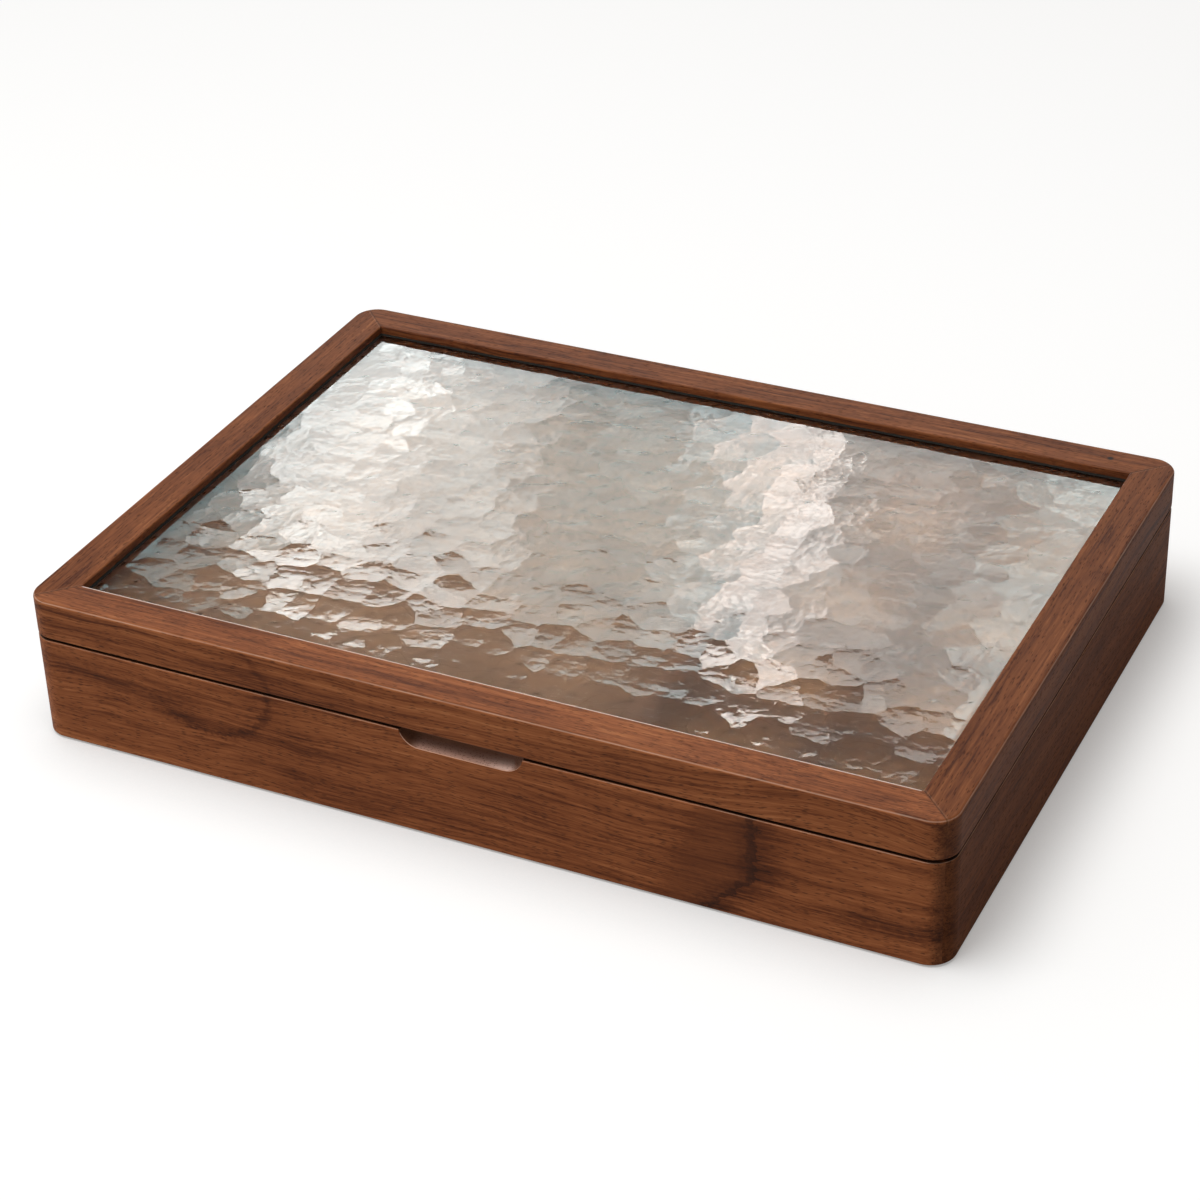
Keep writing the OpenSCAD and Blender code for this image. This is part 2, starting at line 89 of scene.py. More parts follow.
class Bench:
    """A node tree being laid out: put() adds a node, and the rest are short ways to common ones."""

    def __init__(self, tree):
        self.tree = tree

    def put(self, kind, inputs=None, **settings):
        node = self.tree.nodes.new("ShaderNode" + kind)
        for name, value in settings.items():
            setattr(node, name, value)
        for name, value in (inputs or {}).items():
            self.feed(node.inputs[name], value)
        return node

    def feed(self, socket, value):
        if isinstance(value, bpy.types.NodeSocket):
            self.tree.links.new(value, socket)
        else:
            socket.default_value = value

    def math(self, operation, a, b=0.0):
        return self.put("Math", {0: a, 1: b}, operation=operation).outputs[0]

    def plus(self, total, *others):
        for value in others:
            total = self.math("ADD", total, value)
        return total

    def times(self, product, *others):
        for value in others:
            product = self.math("MULTIPLY", product, value)
        return product

    def minus(self, a, b):
        return self.math("SUBTRACT", a, b)

    def divided(self, a, b):
        return self.math("DIVIDE", a, b)

    def absolute(self, value):
        return self.math("ABSOLUTE", value)

    def larger(self, a, b):
        return self.math("MAXIMUM", a, b)

    def smaller(self, a, b):
        return self.math("MINIMUM", a, b)

    def ramp(self, value, low, high, out_low=0.0, out_high=1.0, smooth=True):
        return self.put(
            "MapRange", {0: value, 1: low, 2: high, 3: out_low, 4: out_high},
            interpolation_type="SMOOTHSTEP" if smooth else "LINEAR",
        ).outputs[0]

    def bell(self, value, centre, width):
        """1 at the centre, about 0.37 a width away from it."""
        off = self.divided(self.minus(value, centre), width)
        return self.math("EXPONENT", self.times(off, off, -1.0))

    def mix(self, share, a, b, blend="MIX"):
        return self.put("Mix", {0: share, 6: a, 7: b}, data_type="RGBA", blend_type=blend).outputs[2]

    def noise(self, vector, scale=1.0, detail=2.0, roughness=0.5, distortion=0.0):
        return self.put(
            "TexNoise",
            {
                "Vector": vector, "Scale": scale, "Detail": detail,
                "Roughness": roughness, "Distortion": distortion,
            },
        ).outputs[0]

    def cells(self, vector):
        return self.put("TexVoronoi", {"Vector": vector, "Scale": 1.0}).outputs

    def vector(self, operation, a, b):
        """A vector sum, or the number that a vector product or distance gives."""
        outputs = self.put("VectorMath", {0: a, 1: b}, operation=operation).outputs
        return outputs["Value"] if operation in ("DOT_PRODUCT", "DISTANCE") else outputs["Vector"]

    def centred(self, colour):
        """A noise colour moved to lie around zero."""
        return self.vector("SUBTRACT", colour, (0.5, 0.5, 0.5))

    def grey(self, value):
        return self.join(value, value, value)

    def bump(self, height, strength, distance):
        return self.put("Bump", {"Height": height, "Strength": strength, "Distance": distance}).outputs[0]

    def split(self, vector):
        return self.put("SeparateXYZ", {0: vector}).outputs

    def join(self, x, y, z):
        return self.put("CombineXYZ", {0: x, 1: y, 2: z}).outputs[0]

    def scaled(self, vector, x, y, z):
        return self.put("VectorMath", {0: vector, 1: (x, y, z)}, operation="MULTIPLY").outputs[0]


def new_group(name, inputs, outputs):
    """A shader node group with these sockets, its bench, and its two ends."""
    tree = bpy.data.node_groups.new(name, "ShaderNodeTree")
    kinds = {"vector": "NodeSocketVector", "colour": "NodeSocketColor", "value": "NodeSocketFloat"}
    for socket, kind, default in inputs:
        made = tree.interface.new_socket(socket, in_out="INPUT", socket_type=kinds[kind])
        if default is not None:
            made.default_value = default
    for socket, kind in outputs:
        tree.interface.new_socket(socket, in_out="OUTPUT", socket_type=kinds[kind])
    bench = Bench(tree)
    start = tree.nodes.new("NodeGroupInput").outputs
    end = tree.nodes.new("NodeGroupOutput").inputs
    return tree, bench, start, end


def use(bench, group, **inputs):
    """Places a node group and feeds its sockets."""
    node = bench.tree.nodes.new("ShaderNodeGroup")
    node.node_tree = group
    for name, value in inputs.items():
        bench.feed(node.inputs[name], value)
    return node.outputs


def new_material(name):
    """A material with an empty bench, its Principled shader, and where things are in millimetres."""
    material = bpy.data.materials.new(name)
    material.use_nodes = True
    tree = material.node_tree
    tree.nodes.clear()
    bench = Bench(tree)
    shader = bench.put("BsdfPrincipled")
    tree.links.new(shader.outputs[0], bench.put("OutputMaterial").inputs[0])
    place = bench.scaled(bench.put("TexCoord").outputs["Object"], 1000, 1000, 1000)
    return material, bench, shader.inputs, place


def depths(b, x, y):
    """How far in a spot lies from the box's sides, and from its front or back face."""
    return b.minus(HALF_WIDTH, b.absolute(x)), b.minus(HALF_DEPTH, b.absolute(b.minus(y, MIDDLE)))


def build_walnut_grain():
    """Walnut, along X: slow bands, fine streaks and short dark pores."""
    group, b, start, end = new_group(
        "walnut_grain",
        [
            ("Place", "vector", None),
            ("Board", "value", 0.0),
            ("Tone", "value", 1.0),
            ("Bend", "value", 0.0),
            ("Figure", "value", 0.0),
            ("Calm", "value", 0.0),
            ("Rubbed", "value", 0.0),
            ("Lines", "value", 0.3),
        ],
        [("Color", "colour"), ("Roughness", "value"), ("Height", "value")],
    )
    x, y, z = b.split(start["Place"])
    # each board is cut from its own place in the tree
    x = b.plus(x, b.times(start["Board"], 371.0))
    y = b.plus(y, b.times(start["Board"], 53.0), start["Bend"])
    slow = b.noise(b.scaled(b.join(x, y, z), 1 / 75, 1 / 26, 1 / 26), detail=2)
    y = b.plus(y, b.times(b.minus(slow, 0.5), 9.0))
    place = b.join(x, y, z)
    bands = b.noise(b.scaled(place, 1 / 130, 1 / 4.4, 1 / 4.4), detail=3, roughness=0.6)
    streaks = b.noise(b.scaled(place, 1 / 13, 1 / 0.7, 1 / 0.7), detail=3, roughness=0.7)
    lines = b.noise(b.scaled(place, 1 / 190, 1 / 1.3, 1 / 1.3), detail=3, roughness=0.65)
    patches = b.noise(b.scaled(place, 1 / 34, 1 / 15, 1 / 15), detail=2)
    tone = b.plus(b.times(bands, 0.38), b.times(streaks, 0.52), b.times(patches, 0.16))
    tone = b.plus(tone, b.times(lines, start["Lines"]), b.times(b.minus(0.6, start["Lines"]), 0.5))
    tone = b.minus(tone, b.times(start["Figure"], 0.24))
    calm = b.ramp(start["Calm"], 0, 1, 1.0, 0.5, smooth=False)
    tone = b.plus(0.5, b.times(b.minus(tone, 0.81), calm))
    ramp = b.put("ValToRGB", {0: tone})
    stops = ramp.color_ramp.elements
    stops[0].position, stops[0].color = 0.26, (0.040, 0.014, 0.008, 1)
    stops[1].position, stops[1].color = 0.74, (0.42, 0.165, 0.070, 1)
    stops.new(0.40).color = (0.125, 0.038, 0.016, 1)
    stops.new(0.50).color = (0.22, 0.072, 0.029, 1)
    stops.new(0.61).color = (0.31, 0.108, 0.044, 1)
    cells = b.cells(b.scaled(place, 1 / 3.4, 1 / 0.48, 1 / 0.48))
    chosen = b.ramp(b.split(cells["Color"])[0], 0.26, 0.36)
    pore = b.times(b.ramp(cells["Distance"], 0.38, 0.16), chosen, calm)
    porous = b.mix(b.times(pore, 0.66), ramp.outputs[0], (0.022, 0.010, 0.007, 1))
    deep = b.times(start["Figure"], start["Figure"], 0.62)
    dark = b.mix(deep, porous, (0.036, 0.015, 0.010, 1))
    toned = b.put("HueSaturation", {"Saturation": 1.03, "Value": start["Tone"], "Color": dark}).outputs[0]
    # a painted highlight on the rounded edges; on the inner boards an even paler tone
    b.feed(end["Color"], b.mix(b.times(start["Rubbed"], 0.75), toned, HIGHLIGHT_AND_PALE_WOOD))
    b.feed(end["Roughness"], b.plus(0.36, b.times(pore, 0.2), b.times(streaks, 0.12)))
    b.feed(end["Height"], b.minus(b.times(streaks, 0.5), pore))
    return group


def build_arris():
    """1 on the rounded outer edges at a height, which are Round wide, and 0 elsewhere: where a highlight is
    painted.
    """
    group, b, start, end = new_group(
        "outer_arris",
        [("Place", "vector", None), ("Height", "value", 50.0), ("Round", "value", 1.0)],
        [("Rubbed", "value")],
    )
    x, y, z = b.split(start["Place"])
    side, face = depths(b, x, y)
    from_side = b.larger(b.minus(CORNER, side), 0.0)
    from_face = b.larger(b.minus(CORNER, face), 0.0)
    out = b.math("SQRT", b.plus(b.times(from_side, from_side), b.times(from_face, from_face)))
    inward = b.divided(b.minus(CORNER, out), start["Round"])
    depth = b.divided(b.absolute(b.minus(z, start["Height"])), start["Round"])
    uneven = b.ramp(b.noise(start["Place"], scale=0.06, detail=2), 0.3, 0.65, 0.55, 1.0)
    b.feed(end["Rubbed"], b.times(b.ramp(inward, 0.56, 0.26), b.ramp(depth, 0.56, 0.26), uneven))
    return group


def build_painted_seam_shade():
    """1 on both sides of the gap between case and lid, inside the rounded edges, where painted shade
    darkens the seam.
    """
    group, b, start, end = new_group("painted_seam_shade", [("Place", "vector", None)], [("Dark", "value")])
    x, y, z = b.split(start["Place"])
    inward = b.smaller(*depths(b, x, y))
    near = b.ramp(inward, 3.0, 1.6)
    on_rim = b.times(b.ramp(z, RIM - 0.3, RIM - 0.1), b.ramp(z, RIM + 0.3, RIM + 0.1))
    below = b.times(near, b.ramp(inward, 0.3, 0.46), on_rim)
    above = b.times(near, b.ramp(z, LID_FOOT + 0.4, LID_FOOT + 0.15), b.ramp(z, RIM + 0.1, RIM + 0.3))
    b.feed(end["Dark"], b.larger(below, above))
    return group


def build_mitre_line():
    """The hairline where two rails of the lid meet at 45 degrees, dark, with a light edge beside it."""
    group, b, start, end = new_group(
        "mitre_line",
        [("Place", "vector", None)],
        [("Dark", "value"), ("Light", "value")],
    )
    x, y, z = b.split(start["Place"])
    off = b.minus(*depths(b, x, y))
    on_top = b.ramp(z, LID_TOP - 2.5, LID_TOP - 0.8, 0.15, 1.0)
    b.feed(end["Dark"], b.times(b.bell(off, 0.0, 0.3), on_top))
    b.feed(end["Light"], b.times(b.bell(off, -0.65, 0.3), on_top))
    return group


def build_front_figure():
    """The dark figure of the front board: a looped band on the left and a crotch vein on the right."""
    group, b, start, end = new_group(
        "front_board_figure",
        [("Place", "vector", None)],
        [("Figure", "value"), ("Calm", "value")],
    )
    warp = b.put("TexNoise", {"Vector": b.scaled(start["Place"], 1 / 9, 0, 1 / 6), "Detail": 3.0})
    place = b.vector("ADD", b.scaled(b.centred(warp.outputs[1]), 6, 0, 6), start["Place"])
    x, _, z = b.split(place)
    # the loop, a line round an ellipse that is open to the left
    ex = b.divided(b.plus(x, 86.0), 21.0)
    ez = b.divided(b.minus(z, 33.0), 15.5)
    far = b.math("SQRT", b.plus(b.times(ex, ex), b.times(ez, ez)))
    loop = b.plus(b.times(b.bell(far, 1.0, 0.07), 0.36), b.times(b.bell(far, 0.90, 0.34), 0.14))
    loop = b.times(loop, b.ramp(x, -112.0, -86.0))
    # the band that runs into it from the left end, and a stain to its right
    line = b.plus(b.times(b.plus(x, 144.0), -0.18), 30.5)
    band = b.times(b.bell(z, line, 3.6), b.ramp(x, -84.0, -98.0), 0.36)
    stain = b.times(b.bell(x, -54.0, 8.0), b.bell(z, 21.0, 8.0), 0.2)
    # the vein, upright above z 15 and slanting to the left below
    lean = b.times(b.larger(b.minus(15.0, z), 0.0), -1.05)
    ragged = b.noise(b.scaled(start["Place"], 1 / 3.2, 0, 1 / 2.4), detail=2, roughness=0.6)
    off = b.plus(b.minus(x, b.plus(91.5, lean)), b.times(b.minus(ragged, 0.5), 7.0))
    broken = b.ramp(b.noise(start["Place"], scale=0.35, detail=2), 0.32, 0.6, 0.35, 1.0)
    vein = b.plus(b.times(b.bell(off, 0.0, 1.1), broken, 0.9), b.times(b.bell(off, 2.0, 6.5), 0.46))
    # the calm zone to its left, and a low band that runs to the right end
    edge = b.plus(62.0, b.times(z, 0.35))
    zone = b.times(b.ramp(b.minus(x, edge), -4.0, 5.0), b.ramp(off, 2.0, -1.0))
    low_band = b.times(b.bell(z, 12.0, 3.4), b.ramp(x, 104.0, 128.0), 0.5)
    figure = b.plus(loop, band, stain, vein, low_band, b.times(zone, 0.44))
    b.feed(end["Figure"], b.smaller(figure, 1.0))
    b.feed(end["Calm"], zone)
    return group


def build_lid_front_figure():
    """On the lid's front rail: a vein over the loop of the case, and grain that arches to the right."""
    group, b, start, end = new_group(
        "lid_front_figure",
        [("Place", "vector", None)],
        [("Figure", "value"), ("Bend", "value")],
    )
    x, _, z = b.split(start["Place"])
    wobble = b.times(b.minus(b.noise(start["Place"], scale=0.22, detail=2), 0.5), 5.0)
    course = b.plus(-63.5, b.times(b.minus(z, 38.0), -0.75))
    off = b.plus(b.minus(x, course), wobble)
    vein = b.plus(b.times(b.bell(off, 0.0, 1.2), 0.24), b.times(b.bell(off, -5.0, 9.0), 0.2))
    b.feed(end["Figure"], b.times(vein, b.ramp(z, LID_TOP - 0.4, LID_TOP - 1.4)))
    b.feed(end["Bend"], b.times(b.bell(x, 120.0, 34.0), -7.0))
    return group


def build_hammer_marks():
    """The height in mm of shallow dishes struck side by side, each tipped its own way."""
    group, b, start, end = new_group(
        "hammer_marks",
        [
            ("Place", "vector", None),
            ("Size", "value", 11.0),
            ("Tip", "value", 0.007),
            ("Curve", "value", 0.0006),
        ],
        [("Height", "value")],
    )
    wide = b.put("VectorMath", {0: start["Place"]}, operation="SCALE")
    b.feed(wide.inputs[3], b.divided(1.0, start["Size"]))
    place = wide.outputs[0]
    push = b.put("TexNoise", {"Vector": place, "Scale": 1.7, "Detail": 2.0, "Roughness": 0.55}).outputs[1]
    place = b.vector("ADD", b.scaled(b.centred(push), 0.4, 0.4, 0), place)
    mark = b.put(
        "TexVoronoi", {"Vector": place, "Scale": 1.0, "Randomness": 0.9}, voronoi_dimensions="2D",
    ).outputs
    off = b.vector("SUBTRACT", place, mark["Position"])
    slope = b.vector("DOT_PRODUCT", off, b.scaled(b.centred(mark["Color"]), 1.5, 1, 0))
    far = b.times(mark["Distance"], start["Size"])
    tipped = b.times(slope, start["Tip"], start["Size"])
    b.feed(end["Height"], b.plus(tipped, b.times(far, far, start["Curve"])))
    return group


def build_suede():
    """Suede: brushed patches of nap, with fine fibre."""
    group, b, start, end = new_group(
        "suede_nap",
        [
            ("Place", "vector", None),
            ("Dark", "colour", (0.1, 0.06, 0.04, 1)),
            ("Light", "colour", (0.3, 0.18, 0.11, 1)),
        ],
        [("Color", "colour"), ("Height", "value"), ("Roughness", "value")],
    )
    brushed = b.noise(start["Place"], scale=0.055, detail=3, roughness=0.55, distortion=0.25)
    fibre = b.noise(start["Place"], scale=2.2, detail=3, roughness=0.7)
    share = b.plus(b.times(brushed, 0.85), b.times(fibre, 0.5))
    b.feed(end["Color"], b.mix(b.ramp(share, 0.36, 0.98), start["Dark"], start["Light"]))
    b.feed(end["Height"], b.plus(fibre, b.times(brushed, 0.8)))
    b.feed(end["Roughness"], b.ramp(fibre, 0.2, 0.8, 0.82, 0.98))
    return group


walnut_grain = build_walnut_grain()
outer_arris = build_arris()
front_figure = build_front_figure()
lid_front_figure = build_lid_front_figure()
painted_seam_shade = build_painted_seam_shade()
mitre_line = build_mitre_line()
suede_nap = build_suede()
hammer_marks = build_hammer_marks()


def paint_scoop(b, place, colour):
    """The front board's finger scoop: stippled bare wood, painted lighter towards its right end with a
    painted highlight there, painted shade at its back and both ends, and a painted highlight along its lip.

    Gives the new colour, and a mask of the scoop's inside.
    """
    x, y, z = b.split(place)
    from_end = b.minus(SCOOP_HALF, b.absolute(x))
    in_wall = b.times(b.ramp(y, FRONT + 0.12, FRONT + 0.7), b.ramp(y, FRONT + 9.0, FRONT + 8.0))
    inside = b.times(in_wall, b.ramp(z, RIM - 0.02, RIM - 0.12), b.ramp(from_end, -0.9, -0.3))
    dots = b.cells(b.scaled(place, 1 / 0.8, 1 / 0.5, 1 / 0.5))["Distance"]
    # painted light: the scoop lighter towards its right end
    bare = b.mix(b.ramp(x, 2.0, 17.0), (0.50, 0.30, 0.235, 1), (0.80, 0.54, 0.45, 1))
    bare = b.mix(b.ramp(dots, 0.42, 0.16, 0.0, 0.8), bare, (0.20, 0.10, 0.07, 1))
    # a painted highlight near the right end
    bare = b.mix(b.times(b.bell(x, 13.5, 2.6), 0.5), bare, (0.95, 0.68, 0.58, 1))
    # painted shade at the back, under the lid, and at the right end
    shade = b.plus(b.ramp(y, FRONT + 1.2, FRONT + 5.2), b.ramp(x, 15.0, 18.2, 0.0, 0.9))
    bare = b.mix(b.smaller(shade, 0.9), bare, (0.15, 0.062, 0.032, 1))
    # painted shade at the left end
    bare = b.mix(b.ramp(x, -13.5, -17.5), bare, (0.10, 0.045, 0.025, 1))
    colour = b.mix(b.times(inside, 0.9), colour, bare)
    # a painted highlight along the lower lip
    lip = b.times(b.bell(y, FRONT + 0.22, 0.16), b.ramp(z, RIM - 0.9, RIM - 1.3))
    lip = b.times(lip, b.ramp(from_end, -0.3, 0.7), b.ramp(y, FRONT + 0.03, FRONT + 0.1))
    return b.mix(b.times(lip, 0.8), colour, (0.86, 0.56, 0.42, 1)), inside


def paint_front_rail(b, place, colour):
    """The lid's front rail: a little darker on top, with a painted highlight along its edge by the glass.
    """
    x, y, z = b.split(place)
    colour = b.mix(b.ramp(z, LID_TOP - 0.5, LID_TOP - 0.1, 0.0, 0.2), colour, (0.06, 0.022, 0.012, 1))
    side, face = depths(b, x, y)
    edge = b.times(b.ramp(face, RAIL - 0.8, RAIL - 0.5), b.ramp(z, LID_TOP - 0.7, LID_TOP - 0.4))
    edge = b.times(edge, b.ramp(side, RAIL, RAIL + 1.0))
    # a painted highlight along the inner edge
    return b.mix(b.times(edge, 0.85), colour, (0.86, 0.74, 0.66, 1))


def walnut(
    name, along, board, tone, arris=None, special=None, gloss=0.13, bare=0.0, mitred=False, wear=1.0,
):
    """Oiled satin walnut for one board, whose grain runs along X or Y.

    board is its place in the tree, arris its rounded outer edge, and wear how strong the painted highlight
    on that edge is.
    special names a board that has a figure or marks of its own.
    """
    material, b, shader, place = new_material(name)
    x, y, z = b.split(place)
    grain_place = b.join(x, z, y) if along == "x" else b.join(y, z, x)
    highlight_and_pale = bare
    # the painted highlight along the rounded outer edge
    if arris:
        height, rounding = arris
        highlight_and_pale = b.times(use(b, outer_arris, Place=place, Height=height, Round=rounding)["Rubbed"], wear)
    extra = {}
    if special == "front":
        made = use(b, front_figure, Place=place)
        extra = {"Figure": made["Figure"], "Calm": made["Calm"]}
    if special == "lid_front":
        made = use(b, lid_front_figure, Place=place)
        extra = {"Figure": made["Figure"], "Bend": made["Bend"]}
    lines = 0.5 if mitred else 0.3
    grain = use(
        b, walnut_grain, Place=grain_place, Board=board, Tone=tone, Rubbed=highlight_and_pale, Lines=lines, **extra,
    )
    colour, rough = grain["Color"], grain["Roughness"]
    if special == "front":
        colour, inside = paint_scoop(b, place, colour)
        rough = b.plus(rough, b.times(inside, 0.2))
    if special == "lid_front":
        colour = paint_front_rail(b, place, colour)
    if special == "lid_back":
        # one pin knot near the right end
        knot = b.vector("DISTANCE", place, (128.5, 100.4, LID_TOP))
        colour = b.mix(b.ramp(knot, 1.5, 0.5), colour, (0.02, 0.012, 0.01, 1))
    if special in ("front", "lid_front"):
        # painted shade: the front boards go darker round the right corner, up to the mitre with the darker
        # side
        corner_shade = b.times(b.ramp(x, 143.5, 147.8, 0.0, 0.46), b.ramp(z, LID_TOP - 0.6, LID_TOP - 1.6))
        colour = b.mix(corner_shade, colour, (0.0, 0.0, 0.0, 1))
    if arris:
        # painted shade in the seam between case and lid
        seam_shade_share = use(b, painted_seam_shade, Place=place)["Dark"]
        colour = b.mix(b.times(seam_shade_share, 0.85), colour, (0.012, 0.008, 0.006, 1))
    if mitred:
        joint = use(b, mitre_line, Place=place)
        colour = b.mix(b.times(joint["Dark"], 0.6), colour, (0.03, 0.014, 0.008, 1))
        colour = b.mix(b.times(joint["Light"], 0.1), colour, HIGHLIGHT_AND_PALE_WOOD)
    b.feed(shader["Base Color"], colour)
    b.feed(shader["Roughness"], rough)
    b.feed(shader["Normal"], b.bump(grain["Height"], 0.35, 0.0001))
    shader["Specular IOR Level"].default_value = gloss
    return material


def suede(name, dark, light):
    material, b, shader, place = new_material(name)
    nap = use(b, suede_nap, Place=place, Dark=dark, Light=light)
    b.feed(shader["Base Color"], nap["Color"])
    b.feed(shader["Roughness"], nap["Roughness"])
    b.feed(shader["Normal"], b.bump(nap["Height"], 0.5, 0.00025))
    shader["Specular IOR Level"].default_value = 0.05
    shader["Sheen Weight"].default_value = 0.08
    shader["Sheen Roughness"].default_value = 0.5
    shader["Sheen Tint"].default_value = (0.75, 0.45, 0.28, 1)
    return material


def brass(name, colour, brushing):
    """Brass with a little tarnish, brushed along X or matted, as its brushing in mm says."""
    material, b, shader, place = new_material(name)
    brushed = b.noise(b.scaled(place, *(1 / size for size in brushing)), detail=3, roughness=0.6)
    tarnish = b.ramp(b.noise(place, scale=0.35, detail=3, roughness=0.6), 0.45, 0.75)
    b.feed(shader["Base Color"], b.mix(b.times(tarnish, 0.5), colour, (0.33, 0.20, 0.08, 1)))
    b.feed(shader["Roughness"], b.plus(0.24, b.times(brushed, 0.14), b.times(tarnish, 0.18)))
    b.feed(shader["Normal"], b.bump(brushed, 0.15, 0.00005))
    shader["Metallic"].default_value = 1.0
    return material


def matte(name, dark, light, scale, roughness, bump=0.3, gloss=0.25):
    """Felt, rubber, tape and dull steel: a fine speckle of two close colours."""
    material, b, shader, place = new_material(name)
    speckle = b.noise(place, scale=scale, detail=3, roughness=0.7)
    b.feed(shader["Base Color"], b.mix(b.ramp(speckle, 0.3, 0.7), dark, light))
    b.feed(shader["Roughness"], b.ramp(speckle, 0.3, 0.7, roughness, min(1.0, roughness + 0.12)))
    b.feed(shader["Normal"], b.bump(speckle, bump, 0.0002))
    shader["Specular IOR Level"].default_value = gloss
    return material


def hammered_glass(name, rough):
    """Clear glass with the marks too fine for the mesh: dishes, wrinkles, pits. rough: (least, most)."""
    material, b, shader, place = new_material(name)
    x, y, _ = b.split(place)
    flipped = b.scaled(place, -1, 1, 1)
    large = use(b, hammer_marks, Place=place, Size=11.0, Tip=0.0095, Curve=0.00062)["Height"]
    small = use(b, hammer_marks, Place=flipped, Size=3.4, Tip=0.0015, Curve=0.0009)["Height"]
    wrinkles = b.noise(b.scaled(place, 1 / 1.5, 1 / 0.9, 1 / 6), detail=2, roughness=0.55, distortion=2.2)
    cells = b.cells(b.scaled(place, 1 / 9, 1 / 4.2, 1 / 9))
    pit = b.times(b.ramp(cells["Distance"], 0.16, 0.04), b.ramp(b.split(cells["Color"])[0], 0.984, 0.994))
    height = b.minus(b.plus(large, small, b.times(wrinkles, 0.0015)), b.times(pit, 0.015))
    # calmer beside the rails
    inward = b.smaller(*depths(b, x, y))
    height = b.times(height, b.ramp(inward, RAIL + 1.0, RAIL + 6.0, 0.3, 1.0))
    b.feed(shader["Normal"], b.bump(height, 1.0, MM))
    b.feed(shader["Roughness"], b.ramp(wrinkles, 0.3, 0.7, *rough))
    shader["Base Color"].default_value = (0.93, 0.95, 0.93, 1)
    shader["Transmission Weight"].default_value = 1.0
    shader["IOR"].default_value = 1.52
    return material


def dress(node, material):
    """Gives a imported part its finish."""
    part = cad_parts[node]
    part.data.materials.clear()
    part.data.materials.append(material)


def finish_piece(name, bm, material, body, slot, *stands_for):
    """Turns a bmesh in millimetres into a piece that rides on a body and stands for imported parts."""
    bmesh.ops.scale(bm, vec=(MM, MM, MM), verts=bm.verts)
    for face in bm.faces:
        face.smooth = True
    mesh = bpy.data.meshes.new(name)
    bm.to_mesh(mesh)
    bm.free()
    mesh.materials.append(material)
    piece = bpy.data.objects.new(name, mesh)
    bpy.context.scene.collection.objects.link(piece)
    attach(piece, body)
    if stands_for:
        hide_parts(*stands_for)
    return piece


def node_box(node):
    """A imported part's lowest and highest corner, in millimetres."""
    low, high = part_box(node)
    return low / MM, high / MM


def make_pane():
    """The pane of hammered glass: shallow dishes struck close together on top, deeper ones beneath.

    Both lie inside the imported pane, up to 0.22 mm deep on top and 0.75 mm beneath.
    """
    low, high = node_box("glass_pane")
    size, centre = high - low, (low + high) / 2
    bm = bmesh.new()
    bmesh.ops.create_grid(bm, x_segments=234, y_segments=163, size=0.5)
    bmesh.ops.scale(bm, vec=(size.x, size.y, 1), verts=bm.verts)
    bmesh.ops.translate(bm, vec=(centre.x, centre.y, high.z), verts=bm.verts)
    bmesh.ops.solidify(bm, geom=bm.faces[:], thickness=size.z)
    bmesh.ops.recalc_face_normals(bm, faces=bm.faces)

    def strikes(pitch, seed, uneven):
        """Where the hammer fell: a jittered field of places, each with its own depth."""
        chance = random.Random(seed)
        spots, columns, rows = [], int(size.x / pitch) + 3, int(size.y / pitch * 1.15) + 3
        for row in range(rows):
            for column in range(columns):
                spots.append((
                    low.x + (column - 1 + 0.5 * (row % 2) + chance.uniform(-0.34, 0.34)) * pitch,
                    low.y + (row - 1 + chance.uniform(-0.34, 0.34)) * pitch / 1.15,
                    chance.uniform(-uneven, uneven),
                ))
        tree = kdtree.KDTree(len(spots))
        for index, spot in enumerate(spots):
            tree.insert((spot[0], spot[1], 0), index)
        tree.balance()
        return spots, tree

    def dished(x, y, field, curve):
        """The height of the nearest dishes over their own lowest points."""
        spots, tree = field
        push = noise.noise_vector(Vector((x / 19, y / 19, 3.1))) * 4.2
        spot = Vector((x + push.x, y + push.y, 0))
        nearest = tree.find_n(spot, 5)
        return min(curve * distance * distance + spots[index][2] for _, index, distance in nearest)

    noise.seed_set(19)  # unseeded, the vector noise is another one in each run
    coarse = strikes(11.5, 11, 0.006)
    fine = strikes(7.0, 23, 0.02)
    for vert in bm.verts:
        x, y, z = vert.co
        inside = min(x - low.x, high.x - x, y - low.y, high.y - y)
        # flat along the edge, where the lip and the beads hold it
        fade = min(1.0, max(0.0, (inside - 2.5) / 1.5))
        if z > centre.z:
            rise = dished(x, y, coarse, 0.00012)
            rise += 0.03 * noise.noise(Vector((x / 38, y / 38, 7.7)))
            rise += 0.003 * noise.noise(Vector((x / 5.5, y / 3.6, 1.3)))
            vert.co.z = high.z + fade * (max(-0.1, min(0.1, rise - 0.01)) - 0.12)
        else:
            rise = dished(x, y, fine, 0.022)
            vert.co.z = low.z + fade * max(0.02, min(0.75, 0.45 - rise))
    bm.normal_update()
    for face in bm.faces:
        face.material_index = 1 if face.normal.z < -0.5 else 0
    piece = finish_piece("hammered_pane", bm, glass_face, "lid", "hammered_glass", "glass_pane")
    piece.data.materials.append(glass_under)


